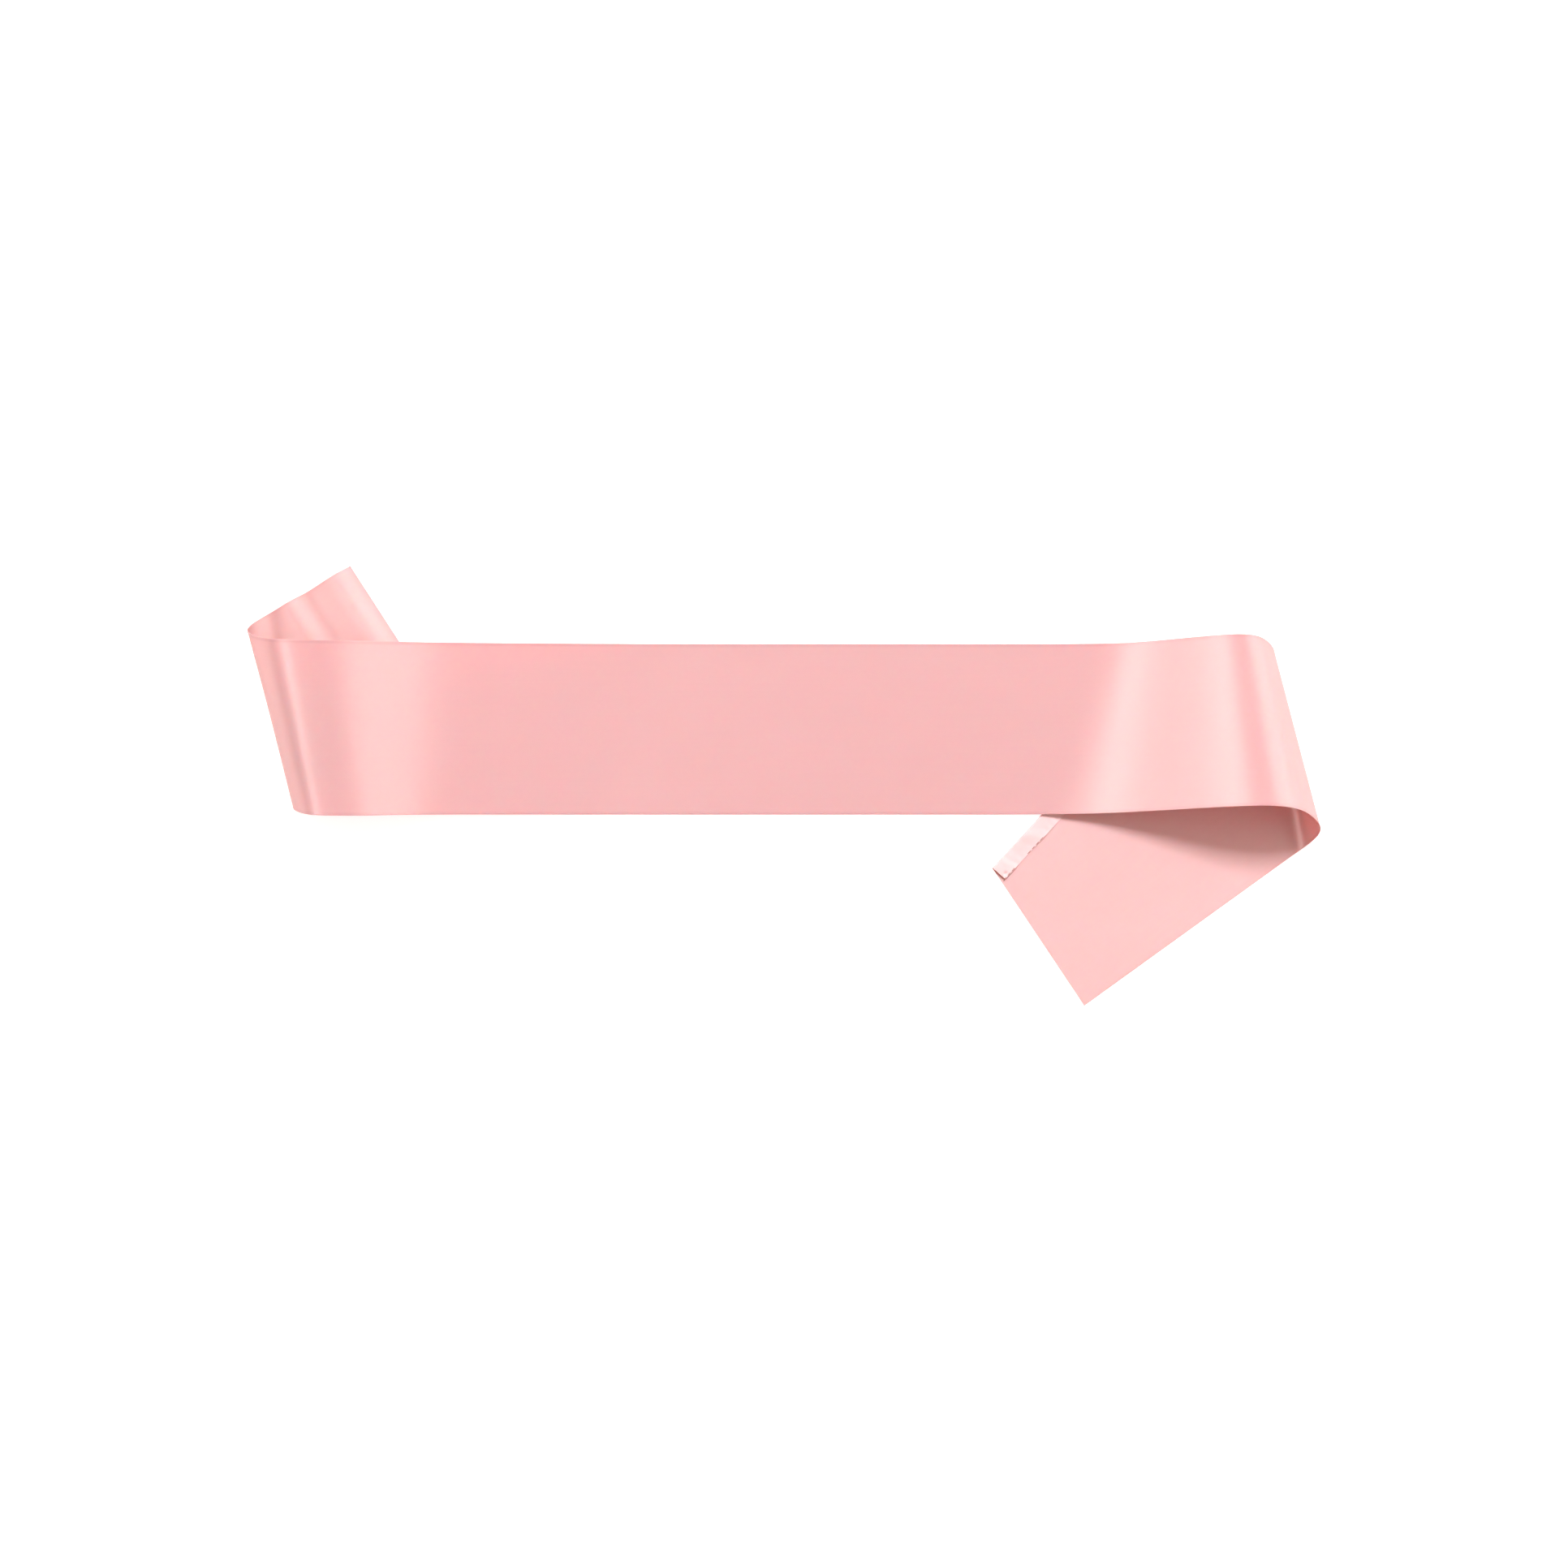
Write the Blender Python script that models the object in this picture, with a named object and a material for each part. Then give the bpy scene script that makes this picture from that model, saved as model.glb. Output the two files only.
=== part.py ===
"""A satin sash laid on a table: one long ribbon with both ends rolled under.

The front of the sash lies flat. At each end the ribbon lifts, turns over in a soft roll and comes
back under itself, and its short tail lies flat on the table, askew to the front. A narrow turned
hem is stitched along part of the right tail's edge.

A ribbon bends but doesn't stretch, so each roll is part of a cone. The cone's point lies on the
table plane, off the ribbon's edge, and the cloth is a fan of straight lines through that point.
The fan's opening angle, measured along the cloth, is the same rolled as flat, and so the tail's
place and angle follow from the roll.

Metres, +Z up, +X along the ribbon to the right end, the table at z = 0.
"""
import bmesh
import bpy
import math
import numpy as np

# ---- driving dimensions ---------------------------------------------------------------------
RIBBON_WIDTH = 0.100
CLOTH = 0.001                    # wall of the cloth
GAP = 0.0003                     # between pieces at a seam, and between layers that touch
STEPS = 6                        # sections to each span of a roll's curve

# A roll's cone point: how far along the ribbon from its middle, and how far from its centreline.
# The tail is the ribbon's length from the point's foot on the far edge to the cut end.
# Skew is how far the cut is off square, in degrees.
RIGHT_CONE = dict(along=0.240, off=0.232, tail=0.282, skew=-2.0)
LEFT_CONE = dict(along=0.224, off=0.292, tail=0.186, skew=0.0)

# Control directions of each roll's fan, in order along the ribbon, in degrees. Swing turns the
# line about the cone's point towards the ribbon's end, from square across the ribbon, and rise
# lifts it off the table. Three with no rise at each end lay the cloth down without a crease.
RIGHT_FAN = dict(
    swing=(-34.0, -29.0, -24.0, -19.0, -10.5, 7.5, 12.5, 14.0, 12.0, 10.0, 8.0),
    rise=(0.0, 0.0, 0.0, 0.5, 1.5, 14.0, 7.5, 2.5, 0.0, 0.0, 0.0),
)
LEFT_FAN = dict(
    swing=(-29.0, -26.5, -24.0, -2.5, 3.0, 9.5, 12.0, 14.5, 12.5, 10.0, 7.5),
    rise=(0.0, 0.0, 0.0, 1.5, 7.0, 8.0, 7.0, 3.0, 0.0, 0.0, 0.0),
)

# The turned hem on the right tail: its fold starts near the tail's corner and runs at a slant to
# the tail's own edge, until it is hidden under the front.
HEM_WIDTH = 0.0100               # from the fold to the stitched edge
HEM_SLANT = 11.5                 # degrees from the tail's edge
HEM_INSET = 0.0035               # fold's start, in from the tail's full width
HEM_HIDDEN = 0.0040              # how far the hem runs on under the front's edge
HEM_HEIGHT = 0.0028              # top of the hem's arch above the table
HEM_STEPS = 5                    # facets to a quarter of the hem's fold

SHARP = 35.0                     # degrees: a turn between facets sharper than this is an edge
SATIN = (0.90, 0.49, 0.49)
SATIN_BACK = (0.95, 0.58, 0.58)


# ---- the ribbon's form ----------------------------------------------------------------------
def fan_curve(fan, steps):
    """Unit directions along a uniform cubic B-spline through the fan's control directions."""
    control = np.radians(np.column_stack([fan["swing"], fan["rise"]]))
    directions = []
    for first in range(len(control) - 3):
        last_span = first == len(control) - 4
        for t in np.linspace(0.0, 1.0, steps + 1)[: steps + 1 if last_span else steps]:
            weights = (
                (1 - t) ** 3 / 6,
                (3 * t ** 3 - 6 * t ** 2 + 4) / 6,
                (-3 * t ** 3 + 3 * t ** 2 + 3 * t + 1) / 6,
                t ** 3 / 6,
            )
            swing, rise = sum(w * row for w, row in zip(weights, control[first:first + 4]))
            directions.append((math.cos(rise) * math.sin(swing),
                               -math.cos(rise) * math.cos(swing),
                               math.sin(rise)))
    return np.array(directions)


class Roll:
    """One end of the ribbon, worked out as the right end; side -1 turns it half round for the left.

    Distances from the cone's point to the ribbon's two long edges never change, rolled or flat.
    """

    def __init__(self, cone, fan, side):
        self.side = side
        self.apex = np.array([cone["along"], cone["off"], 0.0])
        self.near = cone["off"] - RIBBON_WIDTH / 2
        self.far = cone["off"] + RIBBON_WIDTH / 2
        self.tail = cone["tail"]
        self.cut = math.tan(math.radians(cone["skew"]))
        self.lines = fan_curve(fan, STEPS)
        turns = np.arccos(np.clip((self.lines[1:] * self.lines[:-1]).sum(axis=1), -1.0, 1.0))
        start = math.radians(fan["swing"][1])
        self.opened = start + np.concatenate([[0.0], np.cumsum(turns)])
        along = np.gradient(self.lines, axis=0)
        across = np.cross(along, self.lines)
        self.normals = across / np.linalg.norm(across, axis=1)[:, None]

    def placed(self, points):
        """Turn points to this end of the ribbon and lift them to the cloth's middle plane."""
        points = np.array(points, dtype=float)
        points[..., :2] *= self.side
        points[..., 2] += CLOTH / 2
        return points

    def on_line(self, index, distance):
        """A point of one line of the fan, at the edge that lies this far from the cone's point."""
        return self.apex + distance / math.cos(self.opened[index]) * self.lines[index]

    def on_tail(self, length, distance):
        """A point of the flat tail, by its flat length past the foot and its line's distance."""
        swing = math.atan2(self.lines[-1][0], -self.lines[-1][1])
        swing -= math.atan2(length, distance) - self.opened[-1]
        reach = math.hypot(length, distance)
        return self.apex + reach * np.array([math.sin(swing), -math.cos(swing), 0.0])

    def sections(self):
        """Four corners for each line of the fan: both edges, outer then inner face."""
        rows = []
        for index, normal in enumerate(self.normals):
            far = self.on_line(index, self.far)
            near = self.on_line(index, self.near)
            half = normal * CLOTH / 2
            rows.append((far + half, near + half, near - half, far - half))
        return self.placed(rows)

    def cut_end(self):
        """The tail's two cut corners, at the far edge and at the near edge."""
        far = self.on_tail(self.tail, self.far)
        near = self.on_tail(self.tail + RIBBON_WIDTH * self.cut, self.near)
        return far, near


def moved_in(point, towards, distance):
    """The point moved a short way towards another."""
    step = np.array(towards) - np.array(point)
    return point + step / np.linalg.norm(step) * distance


def meet(start_a, way_a, start_b, way_b):
    """Where two lines of the table plane cross."""
    steps = np.linalg.solve(np.column_stack([way_a[:2], -way_b[:2]]), (start_b - start_a)[:2])
    return start_a + way_a * steps[0]


# ---- making solids --------------------------------------------------------------------------
def add_object(name, mesh_data, color, roughness):
    mesh = bpy.data.meshes.new(name)
    mesh_data.to_mesh(mesh)
    mesh_data.free()
    material = bpy.data.materials.new(name)
    material.use_nodes = True
    shader = material.node_tree.nodes["Principled BSDF"]
    shader.inputs["Base Color"].default_value = (*color, 1.0)
    shader.inputs["Roughness"].default_value = roughness
    shader.inputs["Metallic"].default_value = 0.0
    mesh.materials.append(material)
    mesh.shade_smooth()
    mesh.set_sharp_from_angle(angle=math.radians(SHARP))
    piece = bpy.data.objects.new(name, mesh)
    bpy.context.scene.collection.objects.link(piece)
    return piece


def loft(name, rows, color, roughness):
    """A closed body through sections that all have the same number of corners."""
    data = bmesh.new()
    rings = [[data.verts.new(point) for point in row] for row in rows]
    corners = len(rings[0])
    for ring, following in zip(rings, rings[1:]):
        for corner in range(corners):
            beside = (corner + 1) % corners
            data.faces.new((ring[corner], ring[beside], following[beside], following[corner]))
    data.faces.new(reversed(rings[0]))
    data.faces.new(rings[-1])
    bmesh.ops.triangulate(data, faces=data.faces)
    bmesh.ops.recalc_face_normals(data, faces=data.faces)
    return add_object(name, data, color, roughness)


def flat_piece(name, outline, color, roughness):
    """Cloth that lies on the table: its outline, one wall thick."""
    lower = [(x, y, 0.0) for x, y, _ in outline]
    upper = [(x, y, CLOTH) for x, y, _ in outline]
    return loft(name, (lower, upper), color, roughness)


# ---- the pieces -----------------------------------------------------------------------------
def make_front(right, left):
    """The flat front, between the two lines where the ribbon lifts."""
    corners = []
    for roll in (right, left):
        far = roll.on_line(0, roll.far) - (GAP, 0, 0)
        near = roll.on_line(0, roll.near) - (GAP, 0, 0)
        corners += list(roll.placed((far, near)))
    return flat_piece("front_band", corners, SATIN, 0.35)


def make_tail(name, roll, inner_corners=()):
    """A flat tail, from the line where the roll comes down to the cut end."""
    far_cut, near_cut = roll.cut_end()
    far_down = moved_in(roll.on_line(-1, roll.far), far_cut, GAP)
    near_down = moved_in(roll.on_line(-1, roll.near), near_cut, GAP)
    outline = [far_down, far_cut, *(inner_corners or (near_cut,)), near_down]
    return flat_piece(name, roll.placed(outline), SATIN_BACK, 0.55)


def hem_line(roll):
    """The hem's fold: its start at the cut end, its way, its way inwards and its length."""
    far_cut, near_cut = roll.cut_end()
    start = moved_in(near_cut, far_cut, HEM_INSET)
    edge = roll.on_line(-1, roll.near) - near_cut
    turn = math.radians(HEM_SLANT) + math.atan2(edge[1], edge[0])
    way = np.array([math.cos(turn), math.sin(turn), 0.0])
    inwards = np.array([way[1], -way[0], 0.0])
    to_front_edge = (-RIBBON_WIDTH / 2 - start[1]) / way[1]
    return start, way, inwards, to_front_edge + HEM_HIDDEN / way[1]


def hem_profile():
    """The hem's wall, as (distance in from the fold, height) pairs, outer side then inner side.

    It stands on the table outside the tail's edge, rounds the fold, arches over and comes down on
    the tail, where it is stitched.
    """
    top = HEM_HEIGHT - CLOTH / 2
    foot = 2 * CLOTH + GAP - CLOTH / 2
    fold_rise = top - CLOTH
    middle = [(CLOTH / 2, 0.0)]
    for step in range(HEM_STEPS + 1):
        angle = math.pi / 2 * step / HEM_STEPS
        middle.append((CLOTH / 2 + fold_rise * (1 - math.cos(angle)),
                       CLOTH + fold_rise * math.sin(angle)))
    shoulder = middle[-1][0]
    for step in range(1, HEM_STEPS + 1):
        ease = step / HEM_STEPS
        drop = (1 - math.cos(math.pi * ease)) / 2
        middle.append((shoulder + (HEM_WIDTH - shoulder) * ease, top - (top - foot) * drop))
    middle = np.array(middle)
    along = np.gradient(middle, axis=0)
    along[0] = (0.0, 1.0)
    along[-1] = (1.0, 0.0)
    out = np.column_stack([-along[:, 1], along[:, 0]])
    out *= CLOTH / 2 / np.linalg.norm(out, axis=1)[:, None]
    return np.concatenate([middle + out, (middle - out)[::-1]])


def make_hem(roll):
    start, way, inwards, length = hem_line(roll)
    rows = []
    for reach in (0.0, length):
        fold = start + way * reach
        rows.append([fold + inwards * inset + (0, 0, height) for inset, height in hem_profile()])
    return loft("right_tail_hem", rows, SATIN, 0.35)


def tail_inside_hem(roll):
    """The tail's corner, trimmed back inside the hem's fold."""
    far_cut, near_cut = roll.cut_end()
    start, way, inwards, _ = hem_line(roll)
    trimmed = start + inwards * (CLOTH + GAP)
    near_down = roll.on_line(-1, roll.near)
    at_cut = meet(trimmed, way, far_cut, near_cut - far_cut)
    at_edge = meet(trimmed, way, near_cut, near_down - near_cut)
    return at_cut, at_edge


def centre_on_table(pieces):
    """Move the pieces so that the origin is under the middle of them all."""
    points = np.array([vertex.co for piece in pieces for vertex in piece.data.vertices])
    middle = (points.min(axis=0) + points.max(axis=0)) / 2
    for piece in pieces:
        for vertex in piece.data.vertices:
            vertex.co.x -= middle[0]
            vertex.co.y -= middle[1]


def main():
    for item in list(bpy.data.objects):
        bpy.data.objects.remove(item)
    right = Roll(RIGHT_CONE, RIGHT_FAN, 1)
    left = Roll(LEFT_CONE, LEFT_FAN, -1)
    pieces = [
        make_front(right, left),
        loft("right_roll", right.sections(), SATIN, 0.35),
        loft("left_roll", left.sections(), SATIN, 0.35),
        make_tail("right_tail", right, tail_inside_hem(right)),
        make_tail("left_tail", left),
        make_hem(right),
    ]
    centre_on_table(pieces)


main()
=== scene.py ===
# %% [markdown]
# # A satin sash, rolled under at both ends
#
# The real object is one length of wide satin ribbon laid on a table. Its front lies flat, and each
# end turns over in a soft roll and comes out from under the front as a short flat tail. This lesson
# makes the cloth as one thin sheet bent over an exact form, and leaves most of its highlights to
# real lamps. Some light is painted into colours: a highlight on the hem, and shade at the left end,
# at the hem's mouth and along the hem's stitches.
#
# Each lesson step has two cells: words like these, and then a short cell of code.

# %% [markdown]
# ## The frame
#
# The solids of the sash were made earlier, in metres, with the table at height zero. They are the
# frame: they give the sash's place and size, and every piece made here is laid where they are.

# %% Load the frame
import math

import bpy
import numpy as np
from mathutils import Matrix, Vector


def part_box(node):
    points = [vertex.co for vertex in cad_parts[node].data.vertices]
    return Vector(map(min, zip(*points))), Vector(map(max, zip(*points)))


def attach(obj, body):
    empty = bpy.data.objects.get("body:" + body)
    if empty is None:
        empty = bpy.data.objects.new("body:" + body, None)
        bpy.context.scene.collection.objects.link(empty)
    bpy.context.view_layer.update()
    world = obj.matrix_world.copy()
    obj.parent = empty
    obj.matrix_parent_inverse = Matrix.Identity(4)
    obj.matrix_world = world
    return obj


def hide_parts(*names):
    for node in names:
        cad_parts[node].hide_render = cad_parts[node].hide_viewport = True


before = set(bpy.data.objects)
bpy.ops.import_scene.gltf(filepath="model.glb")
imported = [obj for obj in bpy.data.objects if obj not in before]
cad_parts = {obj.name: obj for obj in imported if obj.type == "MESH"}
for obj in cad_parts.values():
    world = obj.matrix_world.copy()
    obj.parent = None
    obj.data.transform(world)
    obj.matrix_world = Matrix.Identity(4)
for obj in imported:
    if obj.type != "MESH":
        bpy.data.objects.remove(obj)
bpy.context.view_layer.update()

front_low, front_high = (np.array(corner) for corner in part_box("front_band"))

# %% [markdown]
# ## The camera
#
# The sash is seen almost straight from above, two degrees off the vertical. A camera turned only
# about X keeps the ribbon's long edges level. Its lens follows from how much of the table it takes
# in, so no focal length has to be guessed.

# %% The camera
CAMERA_AIM = np.array([-0.0003, 0.0006, 0.0])
CAMERA_DISTANCE = 1.400
CAMERA_TILT = math.radians(2.0)
TABLE_IN_VIEW = 0.9177           # width of table across the view
SENSOR = 36.0                    # millimetres

camera = bpy.data.objects.new("camera", bpy.data.cameras.new("camera"))
bpy.context.scene.collection.objects.link(camera)
camera.location = CAMERA_AIM + CAMERA_DISTANCE * np.array(
    [0.0, -math.sin(CAMERA_TILT), math.cos(CAMERA_TILT)])
camera.rotation_euler = (CAMERA_TILT, 0.0, 0.0)
camera.data.sensor_width = SENSOR
camera.data.lens = SENSOR * CAMERA_DISTANCE / TABLE_IN_VIEW
bpy.context.scene.camera = camera
print("lens in millimetres:", round(camera.data.lens, 1))

# %% [markdown]
# ## The ribbon's sizes
#
# These are the sash's own sizes, the same as in its solids. A cone point lies on the table beside
# each end of the ribbon: `along` and `off` place it, and the cloth near that end is a fan of
# straight lines through it. Each fan has control directions, in degrees: `swing` turns a line
# towards the ribbon's end and `rise` lifts it off the table.

# %% Sizes of the ribbon
RIBBON_WIDTH = 0.100
HALF_WIDTH = RIBBON_WIDTH / 2
SEAM_GAP = 0.0003                # between the solids' pieces
RIGHT_CONE = dict(along=0.240, off=0.232, tail=0.282, skew=-2.0)
LEFT_CONE = dict(along=0.224, off=0.292, tail=0.186, skew=0.0)
RIGHT_FAN = dict(
    swing=(-34.0, -29.0, -24.0, -19.0, -10.5, 7.5, 12.5, 14.0, 12.0, 10.0, 8.0),
    rise=(0.0, 0.0, 0.0, 0.5, 1.5, 14.0, 7.5, 2.5, 0.0, 0.0, 0.0),
)
LEFT_FAN = dict(
    swing=(-29.0, -26.5, -24.0, -2.5, 3.0, 9.5, 12.0, 14.5, 12.5, 10.0, 7.5),
    rise=(0.0, 0.0, 0.0, 1.5, 7.0, 8.0, 7.0, 3.0, 0.0, 0.0, 0.0),
)

# %% [markdown]
# ## Rolling a ribbon without stretching it
#
# A ribbon bends easily but doesn't stretch. A simulation could drape one, but it would land in a
# different shape each time its settings change. A surface made of straight lines through one point
# can be rolled out flat exactly, so this lesson uses that rule: a point of the flat ribbon keeps
# its distance from the cone point, and its angle about that point becomes distance along the fan.

# %% The fan of straight lines
FAN_STEPS = 48                   # lines to each span of the fan's curve


def fan_directions(fan):
    """Directions along a uniform cubic B-spline through the fan's control directions."""
    control = np.radians(np.column_stack([fan["swing"], fan["rise"]]))
    t = np.linspace(0.0, 1.0, FAN_STEPS, endpoint=False)[:, None]
    weights = ((1 - t) ** 3 / 6, (3 * t ** 3 - 6 * t ** 2 + 4) / 6,
               (-3 * t ** 3 + 3 * t ** 2 + 3 * t + 1) / 6, t ** 3 / 6)
    spans = [sum(w * row for w, row in zip(weights, control[first:first + 4]))
             for first in range(len(control) - 3)]
    last = (control[-3] + 4 * control[-2] + control[-1]) / 6
    swing, rise = np.vstack([*spans, last]).T
    return np.column_stack([np.cos(rise) * np.sin(swing), -np.cos(rise) * np.cos(swing),
                            np.sin(rise)])


class RibbonEnd:
    """One end of the ribbon: lays flat points of the cloth on their rolled form."""

    def __init__(self, cone, fan, side):
        self.side = side
        self.along, self.off = cone["along"], cone["off"]
        self.tail, self.skew = cone["tail"], math.tan(math.radians(cone["skew"]))
        self.lines = fan_directions(fan)
        turns = np.arccos(np.clip((self.lines[1:] * self.lines[:-1]).sum(axis=1), -1.0, 1.0))
        self.lift_angle = math.radians(fan["swing"][1])
        self.opened = self.lift_angle + np.concatenate([[0.0], np.cumsum(turns)])
        self.landing = math.atan2(self.lines[-1][0], -self.lines[-1][1])

    def cut_length(self, across):
        """Length from the ribbon's middle to its cut end, at a place across its width."""
        return self.along + self.tail + (across + HALF_WIDTH) * self.skew

    def lay(self, length, across):
        """Where a point of the flat cloth goes, in the ribbon's own frame."""
        angle = np.arctan2(length - self.along, self.off - across)
        reach = np.hypot(length - self.along, self.off - across)
        on_fan = np.stack([np.interp(angle, self.opened, self.lines[:, k]) for k in range(3)], -1)
        flat_swing = np.where(angle < self.lift_angle, angle,
                              self.landing - (angle - self.opened[-1]))
        on_table = np.stack([np.sin(flat_swing), -np.cos(flat_swing), 0.0 * flat_swing], -1)
        flat = (angle < self.lift_angle) | (angle > self.opened[-1])
        line = np.where(flat[..., None], on_table, on_fan)
        line /= np.linalg.norm(line, axis=-1)[..., None]
        point = np.array([self.along, self.off, 0.0]) + reach[..., None] * line
        return point * (self.side, self.side, 1)


right_end = RibbonEnd(RIGHT_CONE, RIGHT_FAN, 1)
left_end = RibbonEnd(LEFT_CONE, LEFT_FAN, -1)
sash_length = sum(end.along + end.tail for end in (right_end, left_end))
print("length of ribbon that shows, in metres:", round(sash_length, 3))

# %% [markdown]
# ## From the ribbon's frame to the solids'
#
# The ribbon is worked out about its own middle. The flat front's solid says where that is: its two
# long edges give the middle line, and its right end is where the right roll lifts off the table.

# %% Place of the ribbon among the solids
lift_x = right_end.along + (right_end.off - HALF_WIDTH) * math.tan(right_end.lift_angle)
ribbon_middle = np.array([front_high[0] + SEAM_GAP - lift_x,
                          (front_low[1] + front_high[1]) / 2, 0.0])
print("middle of the ribbon, in metres:", ribbon_middle.round(4))

# %% [markdown]
# ## Soft creases
#
# Laid cloth is never as clean as its rule. The front keeps three very faint waves from the spool,
# and the left tail, which was rolled up tighter, keeps two soft ridges across it. Each wave is one
# row of a short table: where its line crosses the ribbon's middle, how it leans, how wide it is, and
# how high it stands at the ribbon's front and rear edges. The ridges are a table of heights by
# distance from the cut end. Both are added straight up, and both fade out into cloth that lies flat.

# %% Waves and ridges
WAVES = (
    dict(along=-0.145, lean=4.0, width=0.030, front=0.0003, rear=0.0006),
    dict(along=-0.060, lean=-6.0, width=0.034, front=0.0002, rear=0.0002),
    dict(along=0.035, lean=5.0, width=0.040, front=0.0002, rear=0.0003),
)
LEFT_TAIL_FORM = (               # the two ridges, by distance from the cut end
    dict(at=0.000, height=0.0000),
    dict(at=0.012, height=0.0046),
    dict(at=0.028, height=0.0044),
    dict(at=0.044, height=0.0104),
    dict(at=0.060, height=0.0098),
    dict(at=0.100, height=0.0000),
)


def eased(value):
    """A smooth step from 0 to 1."""
    value = np.clip(value, 0.0, 1.0)
    return value * value * (3 - 2 * value)


def follow(table, column, place):
    """A column of a table, smoothly followed between its rows' `at` places."""
    at = np.array([row["at"] for row in table])
    values = np.array([row[column] for row in table])
    index = np.clip(np.searchsorted(at, place, side="right") - 1, 0, len(at) - 2)
    step = eased((place - at[index]) / (at[index + 1] - at[index]))
    return values[index] + (values[index + 1] - values[index]) * step


def wave_height(along, across):
    """Height that the waves and the left tail's ridges add to the cloth."""
    height = np.zeros_like(along)
    share = across / RIBBON_WIDTH + 0.5
    for wave in WAVES:
        line = wave["along"] + across * math.tan(math.radians(wave["lean"]))
        swell = np.exp(-((along - line) / wave["width"]) ** 2)
        height += swell * (wave["front"] * (1 - share) + wave["rear"] * share)
    height += follow(LEFT_TAIL_FORM, "height", left_end.cut_length(-across) + along)
    return height


print("highest ridge, in metres:", max(row["height"] for row in LEFT_TAIL_FORM))

# %% [markdown]
# ## Where the cloth lies
#
# One function now takes any flat point of the sash to its place: the right half goes by the right
# roll, the left half by the left roll turned half round, and the waves come on top. The cloth's
# middle is half its thickest wall above the table, so nothing sinks into it.

# %% The laid cloth
CLOTH_THICKNESS = 0.00030
SELVEDGE_THICKNESS = 0.00050     # the woven edge is a little thicker
TABLE_CLEARANCE = 0.00005        # the cloth never quite touches the table


def lay_ribbon(along, across):
    """World places of flat cloth points: along the ribbon from its middle, and across it."""
    right = right_end.lay(along, across)
    left = left_end.lay(-along, -across)
    place = np.where((along > 0)[..., None], right, left) + ribbon_middle
    place[..., 2] += SELVEDGE_THICKNESS / 2 + TABLE_CLEARANCE + wave_height(along, across)
    return place


def surface_normals(places):
    """Unit normals of a grid of places, on the satin side."""
    normals = np.cross(np.gradient(places, axis=0), np.gradient(places, axis=1))
    return normals / np.linalg.norm(normals, axis=-1)[..., None]


print("highest point of the cloth, in metres:",
      round(float(lay_ribbon(*np.meshgrid(np.linspace(-0.3, 0.4, 701),
                                          np.linspace(-0.05, 0.05, 11),
                                          indexing="ij"))[..., 2].max()), 4))

# %% [markdown]
# ## A closed shell from a grid
#
# A sheet with no thickness has no edges to catch light, and a Solidify modifier would not make the
# selvedge thicker than the rest. So a helper makes both faces of the cloth from one grid, and joins
# them round the rim. It stores the flat cloth's own measures as a UV map named `cloth`, in metres:
# the weave, the selvedge and the direction of the sheen all follow it.

# %% The shell helper
SHARP_EDGE = math.radians(50.0)  # edges that turn more than this aren't smoothed over


def cloth_shell(name, places, normals, half_wall, flat_places, materials):
    """A closed sheet of cloth: material 0 on the side its normals point to, 1 on the other."""
    rows, columns = places.shape[:2]
    count = rows * columns
    offset = normals * half_wall[..., None]
    points = np.concatenate([(places + offset).reshape(-1, 3), (places - offset).reshape(-1, 3)])
    index = np.arange(count).reshape(rows, columns)
    face_side = np.stack([index[:-1, :-1], index[1:, :-1], index[1:, 1:], index[:-1, 1:]],
                         -1).reshape(-1, 4)
    back_side = face_side[:, ::-1] + count
    rim = np.concatenate([index[:-1, 0], index[-1, :-1], index[:0:-1, -1], index[0, :0:-1]])
    beside = np.roll(rim, -1)
    rim_faces = np.stack([rim, rim + count, beside + count, beside], -1)
    faces = np.concatenate([face_side, back_side, rim_faces])
    mesh = bpy.data.meshes.new(name)
    mesh.from_pydata(points.tolist(), [], faces.tolist())
    uv = np.tile(flat_places.reshape(-1, 2), (2, 1))[faces.reshape(-1)]
    mesh.uv_layers.new(name="cloth").data.foreach_set("uv", uv.astype(np.float32).ravel())
    sides = np.repeat([0, 1, 0], [len(face_side), len(back_side), len(rim_faces)])
    mesh.polygons.foreach_set("material_index", sides.astype(np.int32))
    for material in materials:
        mesh.materials.append(material)
    mesh.shade_smooth()
    mesh.set_sharp_from_angle(angle=SHARP_EDGE)
    mesh.update()
    piece = bpy.data.objects.new(name, mesh)
    bpy.context.scene.collection.objects.link(piece)
    print(name, "has", len(faces), "faces")
    return piece

# %% [markdown]
# ## Helpers for shader nodes
#
# A material is a small network of nodes. Each node is added, given its settings and linked to the
# next, which takes many near-identical lines. Three helpers take up what repeats: one adds any node,
# one does a sum, and one makes noise that is stretched along the cloth.

# %% Node helpers
def add_node(tree, kind, **settings):
    """Add a node, set its properties, and set its inputs by name."""
    node = tree.nodes.new(kind)
    inputs = settings.pop("inputs", {})
    for key, value in settings.items():
        setattr(node, key, value)
    for key, value in inputs.items():
        node.inputs[key].default_value = value
    return node


def maths(tree, operation, first, second):
    """A Math node; each operand is a socket or a number. Returns its output socket."""
    node = add_node(tree, "ShaderNodeMath", operation=operation)
    for socket, value in zip(node.inputs, (first, second)):
        if isinstance(value, (int, float)):
            socket.default_value = value
        else:
            tree.links.new(value, socket)
    return node.outputs[0]


def stretched_noise(tree, place, along, across, detail):
    """Noise on the flat cloth with so many features to a metre each way. Returns 0 to 1."""
    stretch = add_node(tree, "ShaderNodeMapping", inputs={"Scale": (along, across, 1.0)})
    noise = add_node(tree, "ShaderNodeTexNoise", inputs={"Scale": 1.0, "Detail": detail})
    tree.links.new(place, stretch.inputs["Vector"])
    tree.links.new(stretch.outputs["Vector"], noise.inputs["Vector"])
    return noise.outputs["Fac"]


print("helpers:", add_node.__name__, maths.__name__, stretched_noise.__name__)

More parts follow.
